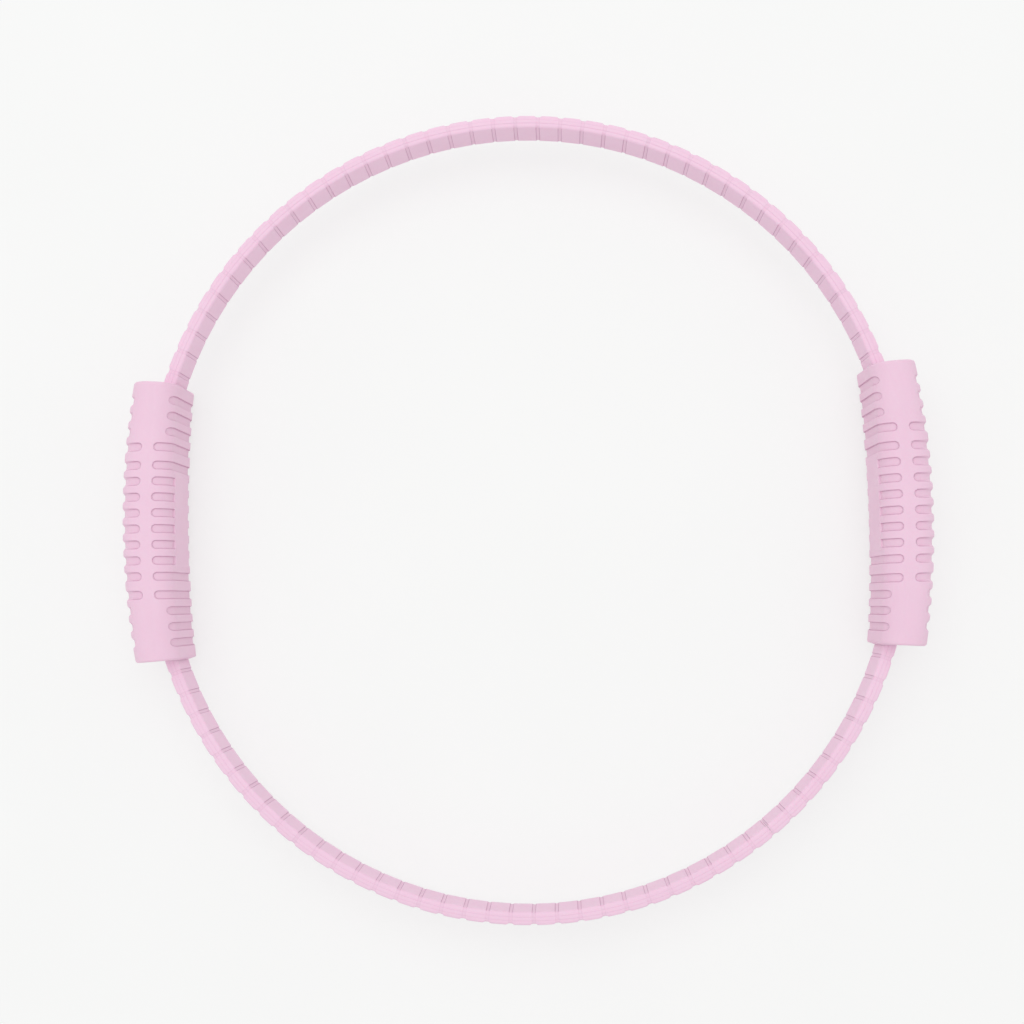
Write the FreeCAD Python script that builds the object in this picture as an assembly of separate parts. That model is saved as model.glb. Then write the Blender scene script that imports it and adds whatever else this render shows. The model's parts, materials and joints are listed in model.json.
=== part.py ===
import FreeCAD, Part
import math
import os

# A pilates ring lying flat: two soft grips joined by two sprung half-hoops.
# X runs through the two grips, Y through the two apexes of the hoop, +Z is up.
# The origin is on the floor, under the centre of the ring. Lengths are in millimetres.

# Hoop line: two arcs joined by a short straight run inside each grip
hoop_height = 380.0            # outer face to outer face, through the two apexes
hoop_straight = 22.0           # length of the straight run in the middle of each grip

# Jacket: the soft ribbed cover of the hoop
jacket_thickness = 6.0         # across the hoop, towards its centre
jacket_height = 20.0
jacket_edge_radius = 1.2
groove_pitch_deg = 3.5
groove_width = 2.0
groove_outer_depth = 0.7
groove_inner_depth = 0.3
plain_jacket_length = 3.0      # least plain jacket between a grip and the first groove
hinge_groove_shares = (1.0, 0.7, 0.4, 0.15)   # bending grooves, as shares of the way from apex to grip

# Spring bands: flat strips that give the hoop its spring
band_thickness = 2.5
band_height = 14.0
band_clearance = 0.3           # to the jacket and the clamps, each side
band_end_gap = 1.0             # between the ends of the two bands, in the middle of a grip

# Grip sleeves: bowed soft mouldings
grip_height = 44.0
grip_thickness = 24.0          # in the middle of the grip
grip_outer_length = 132.0      # along the outer face
grip_inner_length = 129.0      # along the inner face
grip_outer_bow = 6.0           # how far the middle of the outer face stands out from its ends
grip_inner_bow = 3.0
grip_offset = 0.8              # the middle of the grip stands this far outside the hoop line
grip_edge_radius = 9.5
grip_edge_most_share = 0.42    # most of the sleeve's least thickness that an edge radius may take
sleeve_wall = 4.0
sleeve_end_wall = 8.5          # from the clamps to the nearer end of the sleeve
sleeve_clearance = 0.2         # to the clamps and the jacket ends, each side

# Slots in the sleeves: from the middle of the grip, first those beside the panel, then long, then short
slot_width = 3.7
slot_depth = 1.1
slot_pitch = 7.4
long_slot_spread = 1.2         # extra space between the two long slots
panel_slot_count = 3
long_slot_count = 2
short_slot_count = 3
slot_end_margin = 3.0          # least plain sleeve past the last slot
long_slot_tip = 4.0            # from the grip's middle line inwards to the rounded tip
short_slot_tip = 8.6
outer_slot_tip = 1.6           # from the grip's middle line outwards to the rounded tip
outer_short_slot_tip = 8.0
panel_height = 22.5            # the bare panel between the slots on the inner face

# Clamps: the stiff halves inside a sleeve that hold the band ends
clamp_parting = 0.2            # between the two halves

# Clamp screws and their threaded inserts
screw_near_offset = 8.0        # from the middle of the grip
screw_far_offset = 30.0
screw_diameter = 4.0
screw_length = 10.0
screw_head_diameter = 7.0
screw_head_height = 2.5
screw_seat_depth = 3.5         # clamp between the band and the screw head
screw_clearance = 0.25         # radial, in the clamps and the band
socket_width = 2.5             # across the flats
socket_depth = 1.5
insert_diameter = 5.6
insert_length = 4.0
insert_recess = 0.4            # below the face that meets the band
insert_clearance = 0.05        # radial, inside and outside the insert

cut_overrun = 2.0              # how far a cutting shape runs past what it cuts

# Worked out from the sizes above
arc_radius = (hoop_height - jacket_thickness - hoop_straight) / 2
arc_offset = hoop_straight / 2
middle_z = grip_height / 2
grip_middle = arc_radius + grip_offset
grip_longest = max(grip_outer_length, grip_inner_length)
grip_shortest = min(grip_outer_length, grip_inner_length)
clamp_length = grip_shortest - 2 * sleeve_end_wall
slots_each_way = panel_slot_count + long_slot_count + short_slot_count

axis_x = FreeCAD.Vector(1, 0, 0)
axis_y = FreeCAD.Vector(0, 1, 0)
axis_z = FreeCAD.Vector(0, 0, 1)
origin = FreeCAD.Vector(0, 0, 0)


def arc_angle_deg(y, radius):
    """Angle along the upper arc, from the X axis, where a circle of this radius reaches y."""
    return math.degrees(math.asin((y - arc_offset) / radius))


def hoop_x(y):
    """X of the hoop line on the right side at height y."""
    over = max(abs(y) - arc_offset, 0.0)
    return math.sqrt(arc_radius ** 2 - over ** 2)


def groove_numbers():
    """Number of grooves from the apex to the last one before a grip, and those that bend."""
    first_free = arc_angle_deg(grip_longest / 2 + plain_jacket_length, arc_radius)
    last = math.floor((90 - first_free) / groove_pitch_deg)
    return last, [round(last * share) for share in hinge_groove_shares]


last_groove, hinge_grooves = groove_numbers()
half_groove_deg = math.degrees(groove_width / 2 / arc_radius)


def joined(edges):
    """Face inside a closed run of edges."""
    return Part.Face(Part.Wire([edge.toShape() for edge in edges]))


def rounded_section(width, height, radius):
    """Upright rounded rectangle in the XZ plane, centred on the hoop line at Y 0."""
    left = arc_radius - width / 2
    right = arc_radius + width / 2
    low = middle_z - height / 2
    high = middle_z + height / 2
    bend = radius * math.sqrt(0.5)

    def point(x, z):
        return FreeCAD.Vector(x, 0, z)

    def corner(x, z, side_x, side_z, first, second):
        middle = point(x + side_x * bend, z + side_z * bend)
        return Part.Arc(first, middle, second)

    in_left, in_right = left + radius, right - radius
    in_low, in_high = low + radius, high - radius
    return joined([
        Part.LineSegment(point(in_left, low), point(in_right, low)),
        corner(in_right, in_low, 1, -1, point(in_right, low), point(right, in_low)),
        Part.LineSegment(point(right, in_low), point(right, in_high)),
        corner(in_right, in_high, 1, 1, point(right, in_high), point(in_right, high)),
        Part.LineSegment(point(in_right, high), point(in_left, high)),
        corner(in_left, in_high, -1, 1, point(in_left, high), point(left, in_high)),
        Part.LineSegment(point(left, in_high), point(left, in_low)),
        corner(in_left, in_low, -1, -1, point(left, in_low), point(in_left, low)),
    ])


def along_upper_arc(section, start_deg, end_deg):
    """Sweep a section along the upper arc, between two angles from the X axis."""
    section = section.copy()
    section.rotate(origin, axis_z, start_deg)
    swept = section.revolve(origin, axis_z, end_deg - start_deg)
    swept.translate(axis_y * arc_offset)
    return swept


def jacket_section(grow):
    """Outline of the jacket, grown by a clearance on every side."""
    return rounded_section(jacket_thickness + 2 * grow, jacket_height + 2 * grow, jacket_edge_radius + grow)


def hoop_region(grow, height):
    """Solid inside the hoop line moved outwards by grow, of the given height about the middle."""
    radius = arc_radius + grow
    right_high = FreeCAD.Vector(radius, arc_offset, 0)
    left_high = FreeCAD.Vector(-radius, arc_offset, 0)
    right_low = FreeCAD.Vector(radius, -arc_offset, 0)
    left_low = FreeCAD.Vector(-radius, -arc_offset, 0)
    apex = FreeCAD.Vector(0, arc_offset + radius, 0)
    face = joined([
        Part.LineSegment(right_low, right_high),
        Part.Arc(right_high, apex, left_high),
        Part.LineSegment(left_high, left_low),
        Part.Arc(left_low, apex * -1, right_low),
    ])
    face.translate(axis_z * (middle_z - height / 2))
    return face.extrude(axis_z * height)


def hoop_strip(thickness, height):
    """Closed strip of the given thickness and height along the whole hoop line."""
    return hoop_region(thickness / 2, height).cut(hoop_region(-thickness / 2, height))


def bow_arc(middle, bow, length):
    """Centre X and radius of a grip face that bows outwards."""
    radius = (length ** 2 / 4 + bow ** 2) / (2 * bow)
    return middle - radius, radius


outer_centre, outer_radius = bow_arc(grip_middle + grip_thickness / 2, grip_outer_bow, grip_outer_length)
inner_centre, inner_radius = bow_arc(grip_middle - grip_thickness / 2, grip_inner_bow, grip_inner_length)


def outer_face_x(y, inset):
    """X of the outer face of the right grip, moved inwards by inset."""
    return outer_centre + math.sqrt((outer_radius - inset) ** 2 - y ** 2)


def inner_face_x(y, inset):
    """X of the inner face of the right grip, moved inwards by inset."""
    return inner_centre + math.sqrt((inner_radius + inset) ** 2 - y ** 2)


def middle_line_x(y):
    """X of the line midway between the two faces of the right grip."""
    return (outer_face_x(y, 0) + inner_face_x(y, 0)) / 2


def grip_form(inset, outer_length, inner_length):
    """Bowed body of the right grip with rounded long edges, each long face moved in by inset."""
    outer_half = outer_length / 2
    inner_half = inner_length / 2

    def outer_point(y):
        return FreeCAD.Vector(outer_face_x(y, inset), y, inset)

    def inner_point(y):
        return FreeCAD.Vector(inner_face_x(y, inset), y, inset)

    face = joined([
        Part.Arc(outer_point(-outer_half), outer_point(0), outer_point(outer_half)),
        Part.LineSegment(outer_point(outer_half), inner_point(inner_half)),
        Part.Arc(inner_point(inner_half), inner_point(0), inner_point(-inner_half)),
        Part.LineSegment(inner_point(-inner_half), outer_point(-outer_half)),
    ])
    solid = face.extrude(axis_z * (grip_height - 2 * inset))
    least = outer_face_x(grip_outer_length / 2, 0) - inner_face_x(grip_inner_length / 2, 0)
    radius = min(grip_edge_radius, grip_edge_most_share * least, grip_edge_most_share * grip_height) - inset
    long_edges = [edge for edge in solid.Edges if isinstance(edge.Curve, Part.Circle)]
    return solid.makeFillet(radius, long_edges)


def slot_prism(y, tip_x, inwards, low, high):
    """Upright cutter with one rounded tip, running from the tip out past the inner or outer face."""
    half = slot_width / 2
    if inwards:
        end = inner_face_x(y, 0) - cut_overrun
        start = tip_x - half
    else:
        end = outer_face_x(y, 0) + cut_overrun
        start = tip_x + half
    tip = FreeCAD.Vector(tip_x, y, low)
    start_high = FreeCAD.Vector(start, y + half, low)
    start_low = FreeCAD.Vector(start, y - half, low)
    end_high = FreeCAD.Vector(end, y + half, low)
    end_low = FreeCAD.Vector(end, y - half, low)
    face = joined([
        Part.LineSegment(end_high, start_high),
        Part.Arc(start_high, tip, start_low),
        Part.LineSegment(start_low, end_low),
        Part.LineSegment(end_low, end_high),
    ])
    return face.extrude(axis_z * (high - low))


def slot_prisms():
    """Cutters for all the slots of the right grip, through its full height."""
    bottom = -cut_overrun
    top = grip_height + cut_overrun
    panel_low = middle_z - panel_height / 2
    panel_high = middle_z + panel_height / 2
    prisms = []
    for number in range(slots_each_way):
        beside_panel = number < panel_slot_count
        short = number >= panel_slot_count + long_slot_count
        spread = long_slot_spread if number > panel_slot_count else 0.0
        distance = slot_pitch * (number + 0.5) + spread
        if distance + slot_width / 2 + slot_end_margin > grip_shortest / 2:
            break
        for y in (distance, -distance):
            inner_tip = middle_line_x(y) - (short_slot_tip if short else long_slot_tip)
            outer_tip = middle_line_x(y) + (outer_short_slot_tip if short else outer_slot_tip)
            if beside_panel:
                prisms.append(slot_prism(y, inner_tip, True, bottom, panel_low))
                prisms.append(slot_prism(y, inner_tip, True, panel_high, top))
            else:
                prisms.append(slot_prism(y, inner_tip, True, bottom, top))
            prisms.append(slot_prism(y, outer_tip, False, bottom, top))
    return prisms


def jacket_end_start_deg():
    """Angle where the jacket starts inside a grip, just clear of the clamp's end."""
    inner_radius_of_jacket = arc_radius - jacket_thickness / 2
    return arc_angle_deg(clamp_length / 2 + band_clearance, inner_radius_of_jacket)


def grip_sleeve():
    """Right grip: slotted soft body, hollow for the clamps and open at the ends for the jacket."""
    body = grip_form(0, grip_outer_length, grip_inner_length)
    slot_layer = grip_form(-cut_overrun, grip_outer_length, grip_inner_length).cut(
        grip_form(slot_depth, grip_outer_length + cut_overrun, grip_inner_length + cut_overrun))
    body = body.cut(slot_layer.common(Part.makeCompound(slot_prisms())))
    hollow_length = clamp_length + 2 * sleeve_clearance
    body = body.cut(grip_form(sleeve_wall, hollow_length, hollow_length))
    start_deg = arc_angle_deg(clamp_length / 2 - cut_overrun, arc_radius)
    end_deg = 90 - groove_pitch_deg * last_groove
    opening = along_upper_arc(jacket_section(sleeve_clearance), start_deg, end_deg)
    return body.cut([opening, mirrored_in_y(opening)])


def mirrored_in_x(shape):
    return shape.mirror(origin, axis_x)


def mirrored_in_y(shape):
    return shape.mirror(origin, axis_y)


def groove_cutters(angle_deg):
    """Cutters for the notches in the inner and outer faces of the jacket at one angle."""
    low = middle_z - jacket_height / 2 - cut_overrun
    size_z = jacket_height + 2 * cut_overrun
    inner_start = arc_radius - jacket_thickness / 2 - cut_overrun
    outer_start = arc_radius + jacket_thickness / 2 - groove_outer_depth
    cutters = []
    for start, depth in ((inner_start, groove_inner_depth), (outer_start, groove_outer_depth)):
        corner = FreeCAD.Vector(start, -groove_width / 2, low)
        cutter = Part.makeBox(depth + cut_overrun, groove_width, size_z, corner)
        cutter.rotate(origin, axis_z, angle_deg)
        cutter.translate(axis_y * arc_offset)
        cutters.append(cutter)
    return cutters


def jacket_tube(start_deg, end_deg, groove_angles):
    """Stretch of the upper jacket, with its channel for the band and the notches of its grooves."""
    channel = rounded_section(
        band_thickness + 2 * band_clearance, band_height + 2 * band_clearance, band_clearance)
    tube = along_upper_arc(jacket_section(0).cut(channel), start_deg, end_deg)
    cutters = []
    for angle in groove_angles:
        cutters.extend(groove_cutters(angle))
    if cutters:
        tube = tube.cut(cutters)
    return tube


def hinge_angles():
    """Angles of the bending grooves of the upper half, from the left grip to the right grip."""
    right = [90 - groove_pitch_deg * number for number in hinge_grooves]
    left = [180 - angle for angle in right]
    return left + right[::-1]


def still_groove_angle():
    """Angle of the groove, midway between two bending ones, where the hoop keeps its curve when squeezed."""
    number = round((hinge_grooves[1] + hinge_grooves[2]) / 2)
    return 90 - groove_pitch_deg * number


def jacket_sections(angles):
    """Jacket of the upper half from left to right, divided at the grooves at these angles."""
    angles = sorted(angles, reverse=True)
    grooves = [90 + groove_pitch_deg * number for number in range(-last_groove, last_groove + 1)]
    sections = []
    for left, right in zip(angles[:-1], angles[1:]):
        inside = [angle for angle in grooves if right + half_groove_deg < angle < left - half_groove_deg]
        sections.append(jacket_tube(right + half_groove_deg, left - half_groove_deg, inside))
    return sections


def jacket_end():
    """End of the upper jacket that is held in the right grip, up to the first bending groove."""
    return jacket_tube(jacket_end_start_deg(), hinge_angles()[-1] - half_groove_deg, [])


def screw_offsets():
    """Y of each screw in a grip."""
    return [side * offset for offset in (screw_near_offset, screw_far_offset) for side in (1, -1)]


def x_cylinder(radius, start_x, end_x, y):
    """Cylinder along X at the middle height, between two X places."""
    low, high = sorted((start_x, end_x))
    return Part.makeCylinder(radius, high - low, FreeCAD.Vector(low, y, middle_z), axis_x)


def screw_seat_x(y):
    """X of the plane under a screw's head."""
    return hoop_x(y) + band_thickness / 2 + screw_seat_depth


def insert_mouth_x(y):
    """X of the end of an insert that faces the band."""
    return hoop_x(y) - band_thickness / 2 - insert_recess


def pocket_end_x(y):
    """X of the blind end of an insert's pocket, past both the insert and the screw's tip."""
    insert_end = insert_mouth_x(y) - insert_length
    screw_tip = screw_seat_x(y) - screw_length
    return min(insert_end, screw_tip - screw_clearance)


def screw_holes():
    """Clearance holes along X for the screws of the right grip, through the band and the clamps."""
    radius = screw_diameter / 2 + screw_clearance
    return [x_cylinder(radius, screw_seat_x(y) + cut_overrun, pocket_end_x(y), y) for y in screw_offsets()]


def head_pockets():
    """Pockets for the screw heads, open to the outer face of the outer clamp."""
    radius = screw_head_diameter / 2 + screw_clearance
    return [x_cylinder(radius, screw_seat_x(y), outer_face_x(y, 0), y) for y in screw_offsets()]


def insert_pockets():
    """Blind pockets for the inserts, open to the band."""
    radius = insert_diameter / 2 + insert_clearance
    return [x_cylinder(radius, hoop_x(y), pocket_end_x(y), y) for y in screw_offsets()]


def clamp_screw(y):
    """Socket screw with its head outwards."""
    seat = screw_seat_x(y)
    top = seat + screw_head_height
    screw = x_cylinder(screw_diameter / 2, seat - screw_length, seat + socket_depth / 2, y)
    screw = screw.fuse(x_cylinder(screw_head_diameter / 2, seat, top, y)).removeSplitter()
    corner_radius = socket_width / math.sqrt(3)
    corners = []
    for step in range(7):
        angle = math.radians(60 * step)
        corner_y = y + corner_radius * math.cos(angle)
        corner_z = middle_z + corner_radius * math.sin(angle)
        corners.append(FreeCAD.Vector(top - socket_depth, corner_y, corner_z))
    socket = Part.Face(Part.makePolygon(corners)).extrude(axis_x * (socket_depth + cut_overrun))
    return screw.cut(socket)


def screw_insert(y):
    """Threaded insert, drawn as a plain tube."""
    mouth = insert_mouth_x(y)
    tube = x_cylinder(insert_diameter / 2, mouth - insert_length, mouth, y)
    return tube.cut(x_cylinder(
        screw_diameter / 2 + insert_clearance, mouth - insert_length - cut_overrun, mouth + cut_overrun, y))


def clamps():
    """Inner and outer clamp of the right grip, parted along the hoop line."""
    body = grip_form(sleeve_wall + sleeve_clearance, clamp_length, clamp_length)
    channel = hoop_strip(band_thickness + 2 * band_clearance, band_height + 2 * band_clearance)
    tall = grip_height + 2 * cut_overrun
    inner = body.common(hoop_region(-clamp_parting / 2, tall)).cut([channel] + insert_pockets())
    outer = body.cut(hoop_region(clamp_parting / 2, tall)).cut([channel] + screw_holes() + head_pockets())
    return inner, outer


def upper_band():
    """Upper spring band, pierced for the screws of both grips."""
    reach = hoop_height
    half_space = Part.makeBox(
        2 * reach, reach, grip_height, FreeCAD.Vector(-reach, band_end_gap / 2, 0))
    band = hoop_strip(band_thickness, band_height).common(half_space)
    holes = screw_holes()
    return band.cut(holes + [mirrored_in_x(hole) for hole in holes])


def build():
    """Every piece by name."""
    inner_clamp, outer_clamp = clamps()
    right = {
        "grip_sleeve": grip_sleeve(),
        "inner_clamp": inner_clamp,
        "outer_clamp": outer_clamp,
        "clamp_screws": Part.makeCompound([clamp_screw(y) for y in screw_offsets()]),
        "screw_inserts": Part.makeCompound([screw_insert(y) for y in screw_offsets()]),
        "upper_jacket_end": jacket_end(),
        "lower_jacket_end": mirrored_in_y(jacket_end()),
    }
    pieces = {}
    for name, shape in right.items():
        pieces["right_" + name] = shape
        pieces["left_" + name] = mirrored_in_x(shape)
    band = upper_band()
    pieces["upper_spring_band"] = band
    pieces["lower_spring_band"] = mirrored_in_y(band)
    for number, section in enumerate(jacket_sections(hinge_angles()), 1):
        pieces["upper_jacket_%d" % number] = section
    for number, section in enumerate(jacket_sections(hinge_angles() + [still_groove_angle()]), 1):
        pieces["lower_jacket_%d" % number] = mirrored_in_y(section)
    return pieces


os.makedirs("parts", exist_ok=True)
for name, shape in build().items():
    shape.exportStep(os.path.join("parts", name + ".step"))
    print(name, "solids", len(shape.Solids), "valid", shape.isValid(), "volume", round(shape.Volume, 1))
print("grooves each way", last_groove, "bending grooves", hinge_grooves, "angles", hinge_angles())
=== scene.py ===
import json
import math

import bmesh
import bpy
import numpy as np
from mathutils import Matrix, Vector


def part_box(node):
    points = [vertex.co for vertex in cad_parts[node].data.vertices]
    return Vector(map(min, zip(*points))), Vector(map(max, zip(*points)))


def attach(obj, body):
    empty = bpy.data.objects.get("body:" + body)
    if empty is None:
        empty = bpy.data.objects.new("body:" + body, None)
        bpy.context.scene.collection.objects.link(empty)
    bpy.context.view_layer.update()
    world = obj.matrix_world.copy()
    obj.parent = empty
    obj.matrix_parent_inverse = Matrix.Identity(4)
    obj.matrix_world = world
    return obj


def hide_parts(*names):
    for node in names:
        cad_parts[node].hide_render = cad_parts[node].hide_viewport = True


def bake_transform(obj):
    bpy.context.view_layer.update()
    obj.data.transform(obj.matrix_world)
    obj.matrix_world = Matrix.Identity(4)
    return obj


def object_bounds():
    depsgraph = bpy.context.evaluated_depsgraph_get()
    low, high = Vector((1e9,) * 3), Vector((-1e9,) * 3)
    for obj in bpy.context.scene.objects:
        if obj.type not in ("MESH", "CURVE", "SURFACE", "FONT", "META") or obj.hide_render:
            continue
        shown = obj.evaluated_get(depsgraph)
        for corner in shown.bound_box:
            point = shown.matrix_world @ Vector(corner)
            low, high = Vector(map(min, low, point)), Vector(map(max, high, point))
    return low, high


# A pink pilates ring lying flat on a pale floor, seen from above.
# Lengths are in metres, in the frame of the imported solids.

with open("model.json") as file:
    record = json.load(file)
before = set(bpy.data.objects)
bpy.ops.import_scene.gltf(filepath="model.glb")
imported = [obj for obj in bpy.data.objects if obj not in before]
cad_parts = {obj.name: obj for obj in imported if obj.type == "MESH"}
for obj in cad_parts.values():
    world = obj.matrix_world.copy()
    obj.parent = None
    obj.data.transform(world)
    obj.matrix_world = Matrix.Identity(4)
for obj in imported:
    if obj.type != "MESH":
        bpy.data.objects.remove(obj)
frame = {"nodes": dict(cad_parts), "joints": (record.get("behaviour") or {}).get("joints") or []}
cad_low, cad_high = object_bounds()
joints = {joint["name"]: joint for joint in frame["joints"]}

# Jacket details
groove_pitch_deg = 3.5
groove_width = 0.0016
groove_outer_depth = 0.0006
groove_inner_depth = 0.0003
groove_top_depth = 0.00006        # faint run of each groove over the top and bottom
groove_lip = 0.00015              # rounding at the edge of a groove
block_end_radius = 0.0012         # rounding of the outer corners between grooves
jacket_edge_radius = 0.0012
jacket_inside_grip = 0.0080       # jacket that runs on inside a grip
opened_pair = ("lower_6", "lower_7")    # bodies beside the groove where the loop of bodies is open
opening_gap = 0.0001              # between the two stretches of jacket in that groove
seam_width = 0.0014               # raised moulding strip along the top and bottom of the jacket
seam_rise = 0.00018
seam_edge = 0.00015
seam_shade_line = 0.2                   # strength of the painted shade line beside the strip
top_shade_line_share = 0.16             # how much of a groove's painted shade lines shows on the top and bottom
groove_row_shares = (2.5, 2.2, 1.9, 1.6, 1.35, 1.18, 1.0, 0.82, 0.65, 0.3)    # of half a groove's width
block_row_shares = (0.3, 0.5, 0.7)      # of the way from groove to groove
plain_row_share = 0.25            # of the same, where the jacket has no grooves
least_row_share = 0.05            # of half a groove's width: rows closer together than this are one
jacket_corner_steps = 5
jacket_side_steps = 6
weld_distance = 0.000018          # points of a packed band closer together than this are one

# Grip details
grip_thickness = 0.0240
grip_outer_bow = 0.0060
grip_inner_bow = 0.0030
grip_inner_length = 0.1290
grip_edge_radius = 0.0095
grip_rim_radius = 0.0011
jacket_gap = 0.0003               # between the jacket and the mouth of a grip
mouth_depth = 0.0040
slot_width = 0.0037
slot_depth = 0.0008               # on the inner side
outer_slot_depth = 0.0011
slot_lip = 0.00020
outer_slot_lip = 0.0009           # the same on the outer face, where the ribs are rounded
shade_line_width = 0.00026         # half the width of the painted shade line round a slot or a groove
slot_pitch = 0.0074
long_slot_spread = 0.0012         # extra space between the two long slots
panel_slots = 3
long_slots = 2
short_slots = 3
long_slot_tip = 0.0040            # from the grip's middle line inwards to the rounded tip
short_slot_tip = 0.0086
outer_slot_tip = 0.0016           # from the grip's middle line outwards to the rounded tip
outer_short_slot_tip = 0.0080
panel_height = 0.0225
panel_length = 0.0440
panel_rise = 0.00025              # how far the bare panel stands out
panel_column_offsets = (0.0005, 0.00025, 0.0001, -0.0001, -0.00025, -0.0005)   # columns beside its edge
column_step = 0.00035             # spacing of the grip's mesh over its rounded edges
face_column_step = 0.0012         # the same over its flat inner and outer faces
slot_row_shares = (0.0, 0.4, 0.62, 0.8, 0.92, 1.0, 1.08, 1.2, 1.38, 1.6)    # of half a slot's width
end_row_step = 0.0016
rim_steps = 5
mouth_ring_shares = (0.3, 0.65, 1.0)    # of the way from the rim to the mouth
least_ray_share = 1e-9            # least part of a direction, so that nothing is divided by zero
sharp_edge_deg = 50.0

# Colours
grip_pink = (0.865, 0.603, 0.745)
# deeper grip pink: random cloudy tone, and painted shade in the slots
grip_mottle_and_shade_pink = (0.825, 0.550, 0.697)
# dark pink of the painted shade lines round the grip's slots
grip_shade_line_pink = (0.590, 0.325, 0.465)
jacket_pink = (0.895, 0.630, 0.780)
# deeper jacket pink: random cloudy tone, and painted shade in the grooves
jacket_mottle_and_shade_pink = (0.850, 0.565, 0.722)
# dark pink of the painted shade lines beside the grooves and the raised strip
jacket_shade_line_pink = (0.560, 0.300, 0.450)
band_straw = (0.560, 0.520, 0.400)
band_pale = (0.680, 0.650, 0.540)
clamp_grey = (0.600, 0.600, 0.620)
clamp_pale = (0.680, 0.680, 0.700)
steel_grey = (0.50, 0.50, 0.52)
steel_pale = (0.62, 0.62, 0.64)
brass_yellow = (0.62, 0.47, 0.20)
brass_pale = (0.74, 0.60, 0.30)
floor_white = (0.905, 0.908, 0.902)
floor_shade = (0.888, 0.893, 0.886)

# Noises, each as its scale per metre, detail and roughness
rubber_cloud = (38, 4, 0.6)
rubber_speckle = (900, 2, 0.5)
grip_grain = (2600, 3, 0.55)
jacket_grain = (3200, 3, 0.55)
fibre_streaks = (700, 6, 0.7)
band_cloud = (40, 3, 0.5)
clamp_cloud = (60, 4, 0.6)
clamp_grain = (1800, 2, 0.5)
metal_marks = (2200, 4, 0.6)
floor_cloud = (9, 3, 0.5)

# Spans of a mark or noise that are used, and how much of a second colour each brings
whole_span = (0.0, 1.0)
noise_span = (0.3, 0.7)
rubber_cloud_span = (0.3, 0.75)
rubber_speckle_span = (0.45, 0.8)
floor_cloud_span = (0.35, 0.7)
full_share = 1.0
rubber_cloud_share = 0.35
rubber_speckle_share = 0.25
# painted shade: how far the recesses are tinted towards the deeper pink
recess_shade_share = 0.35
# painted shade: how dark the painted shade lines along slot and groove edges are
shade_line_share = 0.95
floor_cloud_share = 0.4

# Surfaces: ranges of roughness, bumps as strength and depth, and values of the shader
rubber_roughness = (0.50, 0.62)
band_roughness = (0.30, 0.45)
clamp_roughness = (0.45, 0.58)
metal_roughness = (0.22, 0.36)
rubber_bump = (0.25, 0.00006)
fibre_bump = (0.2, 0.00003)
clamp_bump = (0.2, 0.00004)
metal_bump = (0.15, 0.00002)
rubber_values = {
    "Specular IOR Level": 0.35,
    "Subsurface Weight": 0.12,
    "Subsurface Radius": (1.0, 0.55, 0.75),
    "Subsurface Scale": 0.0015,
    "Sheen Weight": 0.05,
    "Sheen Roughness": 0.5,
}
metal_values = {"Metallic": 1.0}
floor_values = {"Roughness": 0.9, "Specular IOR Level": 0.1}
floor_lift = 1.06                 # brightness of the white that lightens the floor's shadows
floor_lift_share = 0.65

# Stage, light and camera
floor_share = 12.0                # width of the floor in hoop heights
key_size_share = 5.0              # width of the light in hoop heights
key_shares = (-0.4, 1.6, 4.5)     # place of the light in hoop heights
key_watts = 9.4
sky_strength = 0.785
seen_sky_strength = 0.88          # the sky's white behind the floor
camera_shares = (0.0438, -0.1114, 1.7416)     # camera from the ring's centre, in hoop heights
camera_tilts_deg = (-3.76, -1.97, 1.31)       # about the camera's X and Y axes, then its roll
focal_share = 1396 / 1024                     # focal length in picture widths

# Sizes read from the frame
first_hinge = Vector(joints["upper_bend_1"]["pos_m"])
fourth_hinge = Vector(joints["upper_bend_4"]["pos_m"])
arc_offset = (first_hinge.xy.length_squared - fourth_hinge.xy.length_squared) / (
    2 * (first_hinge.y - fourth_hinge.y))
arc_radius = math.hypot(first_hinge.x, first_hinge.y - arc_offset)
middle_z = first_hinge.z
jacket_low, jacket_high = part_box("upper_jacket_4")
jacket_height = jacket_high.z - jacket_low.z
jacket_thickness = 2 * (jacket_high.y - arc_offset - arc_radius)
grip_low, grip_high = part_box("right_grip_sleeve")
grip_length = grip_high.y - grip_low.y
grip_height = grip_high.z - grip_low.z
grip_middle = grip_high.x - grip_thickness / 2
hoop_height = cad_high.y - cad_low.y
upper_hinge_count = sum(name.startswith("upper_bend_") for name in joints)


def hinge_deg(number):
    """Angle of an upper hinge about the centre of its arc, from the X axis."""
    place = joints["upper_bend_%d" % number]["pos_m"]
    return math.degrees(math.atan2(place[1] - arc_offset, place[0]))


hinge_degs = [hinge_deg(index + 1) for index in range(upper_hinge_count)]
last_groove_deg = hinge_degs[-1]


def smooth(value, low, high):
    """0 below low, 1 above high, with a soft turn between them."""
    share = np.clip((np.asarray(value, float) - low) / (high - low), 0, 1)
    return share * share * (3 - 2 * share)


def add_object(name, data):
    """New object in the scene, from a mesh, a lamp or a lens."""
    thing = bpy.data.objects.new(name, data)
    bpy.context.scene.collection.objects.link(thing)
    return thing


def add_marked_piece(name, points, faces, recess_shade, edge, material):
    """New object, smooth where it is round, with marks for painted shade in its cut-in places and painted
    shade lines along their edges.
    """
    mesh = bpy.data.meshes.new(name)
    mesh.from_pydata([tuple(point) for point in points], [], faces)
    builder = bmesh.new()
    builder.from_mesh(mesh)
    bmesh.ops.recalc_face_normals(builder, faces=builder.faces)
    builder.to_mesh(mesh)
    builder.free()
    for word, values in (("recess_shade", recess_shade), ("edge", edge)):
        mark = mesh.attributes.new(word, "FLOAT", "POINT")
        mark.data.foreach_set("value", np.asarray(values, np.float32))
    mesh.materials.append(material)
    mesh.shade_smooth()
    mesh.set_sharp_from_angle(angle=math.radians(sharp_edge_deg))
    return add_object(name, mesh)


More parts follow.
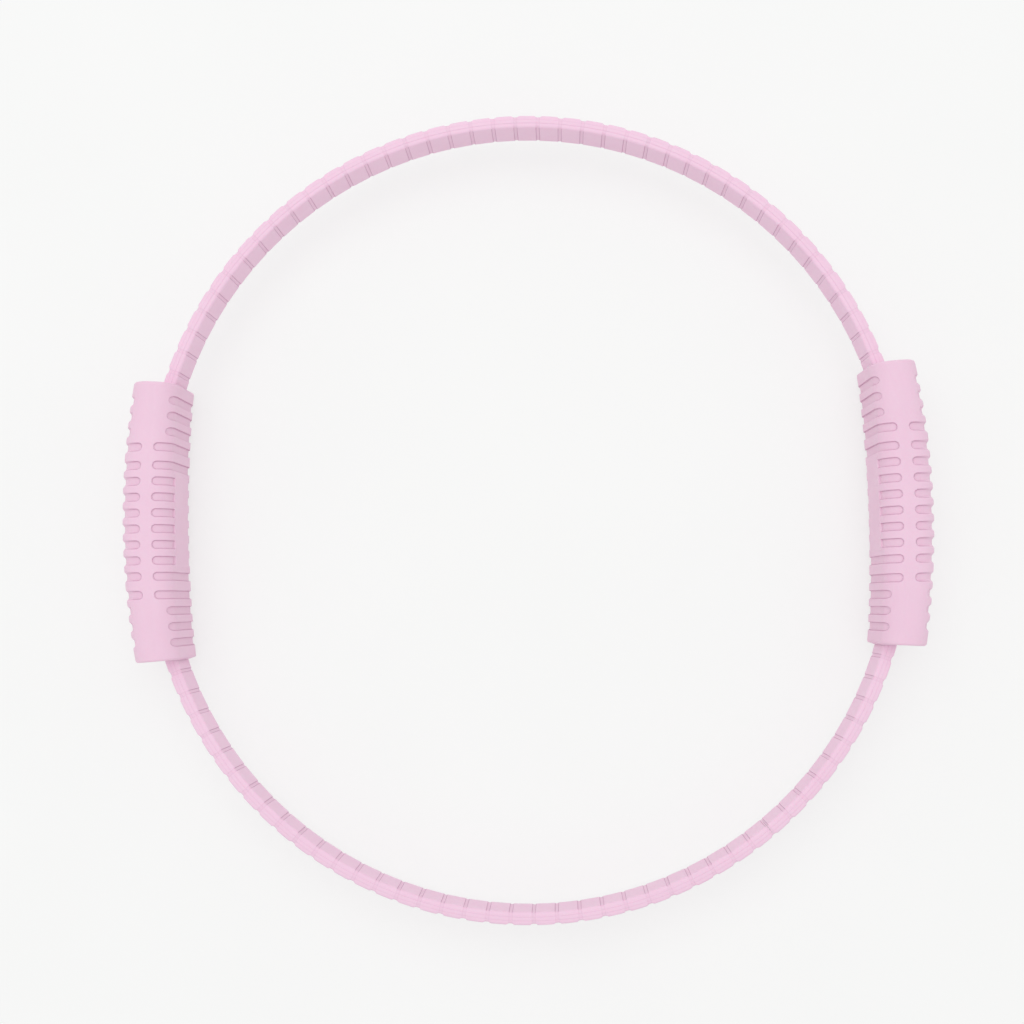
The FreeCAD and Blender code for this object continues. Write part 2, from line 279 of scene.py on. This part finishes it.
def closed_tube_faces(ring_count, loop_count):
    """Quads between closed loops of points, ring after ring, and a face over each end."""
    faces = []
    for ring in range(ring_count - 1):
        base = ring * loop_count
        above = base + loop_count
        for step in range(loop_count):
            after = (step + 1) % loop_count
            faces.append((base + step, base + after, above + after, above + step))
    last_ring = (ring_count - 1) * loop_count
    faces.append(tuple(range(loop_count)))
    faces.append(tuple(range(last_ring, last_ring + loop_count)))
    return faces


# Materials


def tree_of(name):
    """New material with its node tree, its surface shader and its coordinates."""
    material = bpy.data.materials.new(name)
    material.use_nodes = True
    tree = material.node_tree
    return material, tree, tree.nodes["Principled BSDF"], tree.nodes.new("ShaderNodeTexCoord")


def noise(tree, coordinates, kind):
    """Noise over the object, of a kind given as scale, detail and roughness."""
    node = tree.nodes.new("ShaderNodeTexNoise")
    for word, value in zip(("Scale", "Detail", "Roughness"), kind):
        node.inputs[word].default_value = value
    tree.links.new(coordinates.outputs["Object"], node.inputs["Vector"])
    return node.outputs["Fac"]


def mark(tree, word):
    """The mark of this name on the points of the mesh."""
    node = tree.nodes.new("ShaderNodeAttribute")
    node.attribute_name = word
    return node.outputs["Fac"]


def ranged(tree, value, span, target):
    """The value, moved from one range to another."""
    node = tree.nodes.new("ShaderNodeMapRange")
    for word, limit in zip(("From Min", "From Max", "To Min", "To Max"), (*span, *target)):
        node.inputs[word].default_value = limit
    tree.links.new(value, node.inputs["Value"])
    return node.outputs["Result"]


def mixed(tree, value, span, share, first, second):
    """First colour, with up to this share of the second as the value runs over its span."""
    node = tree.nodes.new("ShaderNodeMix")
    node.data_type = "RGBA"
    tree.links.new(ranged(tree, value, span, (0.0, share)), node.inputs["Factor"])
    for key, colour in (("A", first), ("B", second)):
        socket = [entry for entry in node.inputs if entry.name == key and entry.type == "RGBA"][0]
        if isinstance(colour, bpy.types.NodeSocket):
            tree.links.new(colour, socket)
        else:
            socket.default_value = (*colour, 1)
    return [entry for entry in node.outputs if entry.type == "RGBA"][0]


def bump(tree, height, kind):
    """Normal over a height, of a kind given as strength and depth."""
    node = tree.nodes.new("ShaderNodeBump")
    for word, value in zip(("Strength", "Distance"), kind):
        node.inputs[word].default_value = value
    tree.links.new(height, node.inputs["Height"])
    return node.outputs["Normal"]


def finish(tree, shader, colour, roughness, normal, values):
    """Links the colour, roughness and normal to the shader, where there are any, and sets its values."""
    for word, socket in (("Base Color", colour), ("Roughness", roughness), ("Normal", normal)):
        if socket:
            tree.links.new(socket, shader.inputs[word])
    for word, value in values.items():
        shader.inputs[word].default_value = value


def soft_rubber(name, pink, mottle_and_shade_pink, shade_line_pink, grain_kind):
    """Soft moulded rubber: faint cloudy colour and fine matt grain, with painted shade in the recesses and
    painted shade lines along their edges.
    """
    material, tree, shader, coordinates = tree_of(name)
    cloud = noise(tree, coordinates, rubber_cloud)
    speckle = noise(tree, coordinates, rubber_speckle)
    grain = noise(tree, coordinates, grain_kind)
    clouded = mixed(tree, cloud, rubber_cloud_span, rubber_cloud_share, pink, mottle_and_shade_pink)
    speckled = mixed(tree, speckle, rubber_speckle_span, rubber_speckle_share, clouded, mottle_and_shade_pink)
    # painted shade: recesses tinted towards the deeper pink
    recess_shaded = mixed(tree, mark(tree, "recess_shade"), whole_span, recess_shade_share, speckled, mottle_and_shade_pink)
    # painted shade lines: dark pink along the edges of slots, grooves and the raised strip
    lined = mixed(tree, mark(tree, "edge"), whole_span, shade_line_share, recess_shaded, shade_line_pink)
    roughness = ranged(tree, cloud, noise_span, rubber_roughness)
    finish(tree, shader, lined, roughness, bump(tree, grain, rubber_bump), rubber_values)
    return material


def glass_fibre():
    """Pultruded glass fibre: straw-coloured, with pale fibres."""
    material, tree, shader, coordinates = tree_of("glass_fibre")
    fibre = noise(tree, coordinates, fibre_streaks)
    cloud = noise(tree, coordinates, band_cloud)
    colour = mixed(tree, fibre, noise_span, full_share, band_straw, band_pale)
    roughness = ranged(tree, cloud, noise_span, band_roughness)
    finish(tree, shader, colour, roughness, bump(tree, fibre, fibre_bump), {})
    return material


def moulded_nylon():
    """Stiff moulded plastic of the clamps."""
    material, tree, shader, coordinates = tree_of("moulded_nylon")
    cloud = noise(tree, coordinates, clamp_cloud)
    grain = noise(tree, coordinates, clamp_grain)
    colour = mixed(tree, cloud, noise_span, full_share, clamp_grey, clamp_pale)
    roughness = ranged(tree, cloud, noise_span, clamp_roughness)
    finish(tree, shader, colour, roughness, bump(tree, grain, clamp_bump), {})
    return material


def turned_metal(name, plain, pale):
    """Plain turned metal with fine marks."""
    material, tree, shader, coordinates = tree_of(name)
    marks = noise(tree, coordinates, metal_marks)
    colour = mixed(tree, marks, noise_span, full_share, plain, pale)
    roughness = ranged(tree, marks, noise_span, metal_roughness)
    finish(tree, shader, colour, roughness, bump(tree, marks, metal_bump), metal_values)
    return material


def seen_rays(tree):
    """1 for rays from the camera, straight or by way of a glossy or clear surface, and otherwise 0."""
    path = tree.nodes.new("ShaderNodeLightPath")
    total = path.outputs["Is Camera Ray"]
    for kind in ("Is Glossy Ray", "Is Transmission Ray"):
        node = tree.nodes.new("ShaderNodeMath")
        node.operation = "ADD"
        node.use_clamp = True
        tree.links.new(total, node.inputs[0])
        tree.links.new(path.outputs[kind], node.inputs[1])
        total = node.outputs["Value"]
    return total


def paper_white():
    """Matt white sweep that the ring lies on; seen directly, its shadows are lightened."""
    material, tree, shader, coordinates = tree_of("paper_white")
    cloud = noise(tree, coordinates, floor_cloud)
    colour = mixed(tree, cloud, floor_cloud_span, floor_cloud_share, floor_white, floor_shade)
    finish(tree, shader, colour, None, None, floor_values)
    lift = tree.nodes.new("ShaderNodeEmission")
    tree.links.new(colour, lift.inputs["Color"])
    lift.inputs["Strength"].default_value = floor_lift
    blend = tree.nodes.new("ShaderNodeMixShader")
    tree.links.new(ranged(tree, seen_rays(tree), whole_span, (0.0, floor_lift_share)), blend.inputs["Fac"])
    tree.links.new(shader.outputs["BSDF"], blend.inputs[1])
    tree.links.new(lift.outputs["Emission"], blend.inputs[2])
    tree.links.new(blend.outputs["Shader"], tree.nodes["Material Output"].inputs["Surface"])
    return material


# Jacket and spring bands


def groove_distance(angle_deg):
    """Way along the hoop line from an angle of the upper arc to the nearest groove's middle."""
    inside = min(max(angle_deg, last_groove_deg), 180 - last_groove_deg)
    nearest = 90 + groove_pitch_deg * round((inside - 90) / groove_pitch_deg)
    return math.radians(abs(angle_deg - nearest)) * arc_radius


def groove_share(distance, outer_rounding):
    """1 on the floor of a groove, 0 beside it, with its outer side rounded off."""
    half = groove_width / 2
    return 1 - float(smooth(distance, half - groove_lip, half + outer_rounding))


def jacket_rows(left_deg, right_deg):
    """Angles of the rows of points along a stretch of jacket, from left to right."""
    half_groove_deg = math.degrees(groove_width / 2 / arc_radius)
    rows = {left_deg, right_deg}
    past_last_deg = 180 - last_groove_deg + groove_pitch_deg / 2
    grooves = [float(angle) for angle in np.arange(last_groove_deg, past_last_deg, groove_pitch_deg)]
    for groove in grooves:
        rows.add(groove)
        for share in groove_row_shares:
            rows.add(groove - share * half_groove_deg)
            rows.add(groove + share * half_groove_deg)
    for groove in grooves[:-1]:
        for share in block_row_shares:
            rows.add(groove + share * groove_pitch_deg)
    plain_step = groove_pitch_deg * plain_row_share
    for angle in np.arange(0, last_groove_deg - plain_step, plain_step):
        rows.add(float(angle))
        rows.add(180 - float(angle))
    kept = sorted((row for row in rows if right_deg <= row <= left_deg), reverse=True)
    least = half_groove_deg * least_row_share
    return [row for index, row in enumerate(kept) if index == 0 or kept[index - 1] - row > least]


def jacket_loop(distance):
    """Outline of the jacket as offsets outwards and upwards, with a raised strip along top and bottom."""
    outer_width = jacket_thickness / 2 - groove_outer_depth * groove_share(distance, block_end_radius)
    inner_width = jacket_thickness / 2 - groove_inner_depth * groove_share(distance, groove_lip)
    half_height = jacket_height / 2 - groove_top_depth * groove_share(distance, groove_lip)
    radius = jacket_edge_radius
    half_seam = seam_width / 2
    half_strip = [(half_seam + 2 * seam_edge, 0), (half_seam + seam_edge, 0), (half_seam, seam_rise)]
    strip = half_strip + [(-out, rise) for out, rise in reversed(half_strip)]
    points = []
    for side_out, side_up, start_deg in ((1, 1, 0), (-1, 1, 90), (-1, -1, 180), (1, -1, 270)):
        half_width = outer_width if side_out > 0 else inner_width
        centre_out = side_out * (half_width - radius)
        centre_up = side_up * (half_height - radius)
        for step in range(jacket_corner_steps + 1):
            turn = math.radians(start_deg + 90 * step / jacket_corner_steps)
            points.append((centre_out + radius * math.cos(turn), centre_up + radius * math.sin(turn)))
        if side_out == side_up:
            points.extend((side_out * out, side_up * (half_height + rise)) for out, rise in strip)
        else:
            for step in range(1, jacket_side_steps):
                points.append((side_out * half_width, centre_up * (1 - 2 * step / jacket_side_steps)))
    return points


def arc_point(half, angle_deg, out, up):
    """Place at an angle of the upper or lower arc, moved outwards and upwards from the hoop line."""
    turn = math.radians(angle_deg)
    reach = arc_radius + out
    return Vector((reach * math.cos(turn), half * (arc_offset + reach * math.sin(turn)), middle_z + up))


def jacket_piece(name, half, left_deg, right_deg, material):
    """Closed stretch of ribbed jacket."""
    flat_top = jacket_height / 2 - jacket_edge_radius / 2
    rows = jacket_rows(left_deg, right_deg)
    points = []
    recess_shade = []
    edge = []
    for row in rows:
        distance = groove_distance(row)
        loop = jacket_loop(distance)
        points.extend(arc_point(half, row, out, up) for out, up in loop)
        # painted shade: the floor of each groove is marked for the deeper pink
        recess_shade.extend([groove_share(distance, groove_lip)] * len(loop))
        # painted shade lines beside each groove, fainter on the top and bottom
        beside = 1 - float(smooth(abs(distance - groove_width / 2), 0, shade_line_width))
        for out, up in loop:
            on_top = abs(up) > flat_top
            # painted shade line beside the raised strip on the top and bottom
            by_strip = on_top and abs(abs(out) - seam_width / 2 - seam_edge) < seam_edge / 2
            edge.append(max(beside * (top_shade_line_share if on_top else 1), seam_shade_line if by_strip else 0))
    faces = closed_tube_faces(len(rows), len(points) // len(rows))
    return add_marked_piece(name, points, faces, recess_shade, edge, material)


def band_piece(name, half, left_deg, right_deg, material):
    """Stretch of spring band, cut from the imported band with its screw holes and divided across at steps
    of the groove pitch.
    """
    node = frame["nodes"]["upper_spring_band" if half > 0 else "lower_spring_band"]
    builder = bmesh.new()
    builder.from_mesh(node.data)
    bmesh.ops.remove_doubles(builder, verts=builder.verts, dist=weld_distance)

    def cut(angle_deg, drop):
        """Divides the band at an angle, and drops and closes one side where it is told to."""
        turn = math.radians(angle_deg)
        along = Vector((-math.sin(turn), half * math.cos(turn), 0))
        bmesh.ops.bisect_plane(
            builder, geom=builder.verts[:] + builder.edges[:] + builder.faces[:],
            plane_co=arc_point(half, angle_deg, 0, 0), plane_no=along,
            clear_inner=drop == "right", clear_outer=drop == "left")
        if drop:
            rim = [edge for edge in builder.edges if edge.is_boundary]
            bmesh.ops.holes_fill(builder, edges=rim, sides=0)

    if left_deg < 180:
        cut(left_deg, "left")
    if right_deg > 0:
        cut(right_deg, "right")
    for angle in np.arange(max(right_deg, 0) + groove_pitch_deg, min(left_deg, 180), groove_pitch_deg):
        cut(float(angle), None)
    mesh = bpy.data.meshes.new(name)
    builder.to_mesh(mesh)
    builder.free()
    mesh.materials.clear()
    mesh.materials.append(material)
    return add_object(name, mesh)


def seam_degs():
    """Where one stretch of jacket meets the next: the groove nearest the middle of each section."""
    seams = []
    for left, right in zip(hinge_degs[:-1], hinge_degs[1:]):
        steps = round((left - right) / groove_pitch_deg)
        seams.append(right + groove_pitch_deg * (steps // 2))
    return seams


def arc_deg(y):
    """Angle where the hoop line on the right reaches y."""
    return math.degrees(math.asin((y - arc_offset) / arc_radius))


def body_pairs(word):
    """Bodies on either side of each hinge of a half-hoop, from the left grip to the right grip."""
    opened = opened_pair[0].startswith(word)
    sections = upper_hinge_count if opened else upper_hinge_count - 1
    chain = ["left_grip"] + ["%s_%d" % (word, index + 1) for index in range(sections)] + ["right_grip"]
    return [pair for pair in zip(chain[:-1], chain[1:]) if pair != opened_pair]


def jacket_node(word, body):
    """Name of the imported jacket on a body, for the upper or the lower half-hoop."""
    if body.endswith("_grip"):
        return "%s_%s_jacket_end" % (body.removesuffix("_grip"), word)
    return body.replace("_", "_jacket_")


def build_hoop(jacket_material, band_material):
    """Jacket and bands of both half-hoops, in stretches that each span one hinge."""
    seams = seam_degs()
    held_deg = arc_deg(grip_length / 2 - jacket_inside_grip)
    half_gap_deg = math.degrees(opening_gap / arc_radius) / 2
    jacket_ends = [180 - held_deg] + seams + [held_deg]
    band_ends = [180.0] + seams + [0.0]
    for word, half in (("upper", 1), ("lower", -1)):
        for index, (left_body, right_body) in enumerate(body_pairs(word)):
            number = index + 1
            left_gap = half_gap_deg if left_body == opened_pair[1] else 0
            right_gap = half_gap_deg if right_body == opened_pair[0] else 0
            jacket = jacket_piece(
                "%s_jacket_bend_%d" % (word, number), half,
                jacket_ends[index] - left_gap, jacket_ends[number] + right_gap, jacket_material)
            band = band_piece(
                "%s_band_bend_%d" % (word, number), half,
                band_ends[index] - left_gap, band_ends[number] + right_gap, band_material)
            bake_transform(jacket)
            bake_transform(band)
            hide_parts(word + "_spring_band")
            for body in (left_body, right_body):
                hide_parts(jacket_node(word, body))


# Grips


def bow_arc(middle, bow, length):
    """Centre and radius of a grip face that bows outwards."""
    radius = (length ** 2 / 4 + bow ** 2) / (2 * bow)
    return middle - radius, radius


outer_arc = bow_arc(grip_middle + grip_thickness / 2, grip_outer_bow, grip_length)
inner_arc = bow_arc(grip_middle - grip_thickness / 2, grip_inner_bow, grip_inner_length)


def face_x(arc, y):
    """X of a face of the right grip at a place along it."""
    return float(arc[0] + np.sqrt(arc[1] ** 2 - y ** 2))


def slot_places():
    """Distance of each slot from the middle of the grip, with its kind."""
    kinds = ["panel"] * panel_slots + ["long"] * long_slots + ["short"] * short_slots
    places = []
    for number, kind in enumerate(kinds):
        spread = long_slot_spread if number > panel_slots else 0.0
        places.append((slot_pitch * (number + 0.5) + spread, kind))
    return places


def slot_cut(across, y, up):
    """Depth of the slots and the painted shade line round them, at places across the grip and up, at one y.
    """
    deepest = np.zeros_like(across)
    line = np.zeros_like(across)
    half = slot_width / 2
    off_panel = smooth(np.abs(up), panel_height / 2, panel_height / 2 + slot_lip)
    outwards = smooth(across, outer_slot_tip + half, grip_thickness / 2)
    outer_lip = slot_lip + (outer_slot_lip - slot_lip) * outwards
    for distance, kind in slot_places():
        inner_centre = -(short_slot_tip if kind == "short" else long_slot_tip) - half
        outer_centre = (outer_short_slot_tip if kind == "short" else outer_slot_tip) + half
        beside = np.abs(np.abs(y) - distance)
        past_inner = np.maximum(across - inner_centre, 0)
        past_outer = np.maximum(outer_centre - across, 0)
        inner_reach = np.hypot(past_inner, beside) - half
        outer_reach = np.hypot(past_outer, beside) - half
        inner = 1 - smooth(inner_reach, -slot_lip, slot_lip)
        outer = 1 - smooth(outer_reach / outer_lip, -1, 1)
        # painted shade lines round each slot, fading out over the rounded outer ribs
        inner_shade_line = 1 - smooth(np.abs(inner_reach), 0, shade_line_width)
        outer_shade_line = (1 - smooth(np.abs(outer_reach), 0, shade_line_width)) * (1 - outwards)
        if kind == "panel":
            inner = inner * off_panel
            inner_shade_line = inner_shade_line * off_panel
        deepest = np.maximum(deepest, np.maximum(slot_depth * inner, outer_slot_depth * outer))
        line = np.maximum(line, np.maximum(inner_shade_line, outer_shade_line))
    return deepest, line


def panel_stand(across, y, up):
    """How far the bare panel stands out of the inner face."""
    beside = max(abs(y) - panel_length / 2, 0.0)
    above = np.maximum(np.abs(up) - panel_height / 2, 0)
    on_panel = 1 - smooth(np.hypot(beside, above), 0, slot_lip)
    return panel_rise * np.where(across < 0, on_panel, 0)


def grip_rows():
    """Places along the grip for its rows of points, between its two rims."""
    half = slot_width / 2
    distances = [distance for distance, kind in slot_places()]
    rows = set()
    last = 0.0
    for distance in distances:
        for share in slot_row_shares:
            rows.add(distance - share * half)
            rows.add(distance + share * half)
        rows.add((last + distance) / 2)
        last = distance
    end = grip_length / 2 - grip_rim_radius
    start = last + half * slot_row_shares[-1]
    steps = math.ceil((end - start) / end_row_step)
    rows.update(start + (end - start) * step / steps for step in range(1, steps + 1))
    positive = sorted(rows)
    return [-row for row in reversed(positive)] + [0.0] + positive


def grip_columns():
    """Columns round the grip: share of its flat half thickness, reach past that, up, and way outwards."""
    radius = grip_edge_radius
    half_height = grip_height / 2
    rise = half_height - radius
    corner_steps = math.ceil(math.pi / 2 * radius / column_step)
    crown_steps = math.ceil(2 * (grip_thickness / 2 - radius) / column_step)
    face_steps = math.ceil(2 * rise / face_column_step)
    columns = []

    def corner(side_out, side_up, start_deg):
        for step in range(corner_steps):
            turn = math.radians(start_deg + 90 * step / corner_steps)
            out = math.cos(turn)
            up = math.sin(turn)
            columns.append((side_out, radius * out, side_up * rise + radius * up, out, up))

    def crown(side):
        for step in range(crown_steps):
            share = 1 - 2 * step / crown_steps
            columns.append((side * share, 0.0, side * half_height, 0.0, side))

    def face(side):
        heights = {rise * (1 - 2 * step / face_steps) for step in range(face_steps)}
        for offset in panel_column_offsets:
            heights.add(panel_height / 2 + offset)
            heights.add(-panel_height / 2 - offset)
        for height in sorted(heights, reverse=True):
            columns.append((side, side * radius, -side * height, side, 0.0))

    corner(1, 1, 0)
    crown(1)
    corner(-1, 1, 90)
    face(-1)
    corner(-1, -1, 180)
    crown(-1)
    corner(1, -1, 270)
    face(1)
    return np.array(columns, float).T


grip_section = grip_columns()


def grip_ring(y, inset, side_end):
    """One ring of points round the right grip at a place along it, moved in by inset, and its marks for
    painted shade in the slots and painted shade lines round them.
    """
    outer_x = face_x(outer_arc, y)
    inner_x = face_x(inner_arc, y)
    share, reach, up, out_x, out_z = grip_section
    across = share * ((outer_x - inner_x) / 2 - grip_edge_radius) + reach
    cut, line = slot_cut(across, y, up)
    depth = inset + cut - panel_stand(across, y, up)
    middle = (outer_x + inner_x) / 2
    x = middle + across - depth * out_x
    z = middle_z + up - depth * out_z
    lean = (grip_length - grip_inner_length) / 2 * (0.5 - across / grip_thickness)
    tilt = float(smooth(abs(y), side_end, grip_length / 2))
    along = y - math.copysign(1.0, y) * lean * tilt
    return np.column_stack((x, along, z)), cut / outer_slot_depth, line


def mouth_ring(ring, y):
    """Outline of the grip's mouth round the jacket, one point for each point of the end ring."""
    centre = np.array((math.sqrt(arc_radius ** 2 - (abs(y) - arc_offset) ** 2), y, middle_z))
    half_width = jacket_thickness / 2 + jacket_gap
    half_height = jacket_height / 2 + jacket_gap
    radius = jacket_edge_radius + jacket_gap
    flat_x = half_width - radius
    flat_z = half_height - radius
    rays = ring - centre
    rays[:, 1] = 0
    rays /= np.linalg.norm(rays, axis=1)[:, None]
    points = []
    for ray in rays:
        part_x = max(abs(ray[0]), least_ray_share)
        part_z = max(abs(ray[2]), least_ray_share)
        reach = min(half_width / part_x, half_height / part_z)
        if abs(ray[0]) * reach > flat_x and abs(ray[2]) * reach > flat_z:
            dot = abs(ray[0]) * flat_x + abs(ray[2]) * flat_z
            reach = dot + math.sqrt(dot ** 2 - flat_x ** 2 - flat_z ** 2 + radius ** 2)
        points.append(centre + reach * ray)
    return np.array(points)


def grip_end(direction, side_end):
    """Rings that round off one end of the right grip and close it down to the jacket."""
    end = grip_length / 2
    rings = []
    for step in range(1, rim_steps + 1):
        turn = math.pi / 2 * step / rim_steps
        y = end - grip_rim_radius * (1 - math.sin(turn))
        rings.append(grip_ring(direction * y, grip_rim_radius * (1 - math.cos(turn)), side_end)[0])
    rim = rings[-1]
    mouth = mouth_ring(rim, direction * end)
    mouth[:, 1] = rim[:, 1].mean()
    rings.extend(rim + (mouth - rim) * share for share in mouth_ring_shares)
    rings.append(mouth_ring(rings[-1], direction * (end - mouth_depth)))
    return rings


def grip_piece(name, side, material):
    """Soft slotted grip, closed at both ends round the jacket."""
    last_slot = slot_places()[-1][0] + slot_width / 2
    body = [grip_ring(y, 0.0, last_slot) for y in grip_rows()]
    low_end = grip_end(-1, last_slot)[::-1]
    high_end = grip_end(1, last_slot)
    rings = low_end + [ring for ring, cut, line in body] + high_end
    count = len(rings[0])
    # painted shade marks for the slots and their edges; none on the end rings
    blanks = [np.zeros(count)] * len(low_end)
    recess_shade = np.concatenate(blanks + [cut for ring, cut, line in body] + blanks)
    edge = np.concatenate(blanks + [line for ring, cut, line in body] + blanks)
    points = np.concatenate(rings)
    points[:, 0] *= side
    return add_marked_piece(name, points, closed_tube_faces(len(rings), count), recess_shade, edge, material)


def build_grips(material):
    """The left and the right grip, each in place of its packed sleeve."""
    for word, side in (("left", -1), ("right", 1)):
        grip = grip_piece(word + "_grip_moulding", side, material)
        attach(grip, word + "_grip")
        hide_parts(word + "_grip_sleeve")


def finish_inner_pieces():
    """Materials of the clamps, screws and inserts inside the grips."""
    nylon = moulded_nylon()
    steel = turned_metal("zinc_steel", steel_grey, steel_pale)
    brass = turned_metal("brass", brass_yellow, brass_pale)
    finishes = {"inner_clamp": nylon, "outer_clamp": nylon, "clamp_screws": steel, "screw_inserts": brass}
    for side in ("left", "right"):
        for name, material in finishes.items():
            node = frame["nodes"]["%s_%s" % (side, name)]
            node.data.materials.clear()
            node.data.materials.append(material)


# Stage, light and camera


def add_floor():
    """Square white floor under the ring."""
    half = floor_share * hoop_height / 2
    corners = [(-half, -half, 0), (half, -half, 0), (half, half, 0), (-half, half, 0)]
    mesh = bpy.data.meshes.new("floor")
    mesh.from_pydata(corners, [], [(0, 1, 2, 3)])
    mesh.materials.append(paper_white())
    floor = add_object("floor", mesh)
    floor.location.z = cad_low.z


def add_light():
    """One broad soft light from beyond the top of the ring, and an even white sky."""
    world = bpy.data.worlds.new("studio")
    world.use_nodes = True
    tree = world.node_tree
    background = tree.nodes["Background"]
    background.inputs["Color"].default_value = (1, 1, 1, 1)
    strength = ranged(tree, seen_rays(tree), whole_span, (sky_strength, seen_sky_strength))
    tree.links.new(strength, background.inputs["Strength"])
    bpy.context.scene.world = world
    lamp = bpy.data.lights.new("key", "AREA")
    lamp.shape = "DISK"
    lamp.size = key_size_share * hoop_height
    lamp.energy = key_watts
    key = add_object("key", lamp)
    key.location = Vector(key_shares) * hoop_height
    key.rotation_euler = (-key.location).to_track_quat("-Z", "Y").to_euler()


def add_camera():
    """Camera at the photographed angle."""
    lens = bpy.data.cameras.new("camera")
    lens.sensor_fit = "HORIZONTAL"
    lens.lens = lens.sensor_width * focal_share
    camera = add_object("camera", lens)
    tilt_x, tilt_y, roll = (math.radians(angle) for angle in camera_tilts_deg)
    tilted = Matrix.Rotation(tilt_x, 3, "X") @ Matrix.Rotation(tilt_y, 3, "Y")
    turn = Matrix.Rotation(roll, 3, "Z") @ tilted
    camera.rotation_euler = turn.transposed().to_euler()
    camera.location = Vector(camera_shares) * hoop_height + Vector((0, 0, middle_z))
    bpy.context.scene.camera = camera


grip_rubber = soft_rubber("grip_rubber", grip_pink, grip_mottle_and_shade_pink, grip_shade_line_pink, grip_grain)
jacket_rubber = soft_rubber("jacket_rubber", jacket_pink, jacket_mottle_and_shade_pink, jacket_shade_line_pink, jacket_grain)
build_grips(grip_rubber)
build_hoop(jacket_rubber, glass_fibre())
finish_inner_pieces()
add_floor()
add_light()
add_camera()
bpy.context.scene.view_settings.view_transform = "Standard"
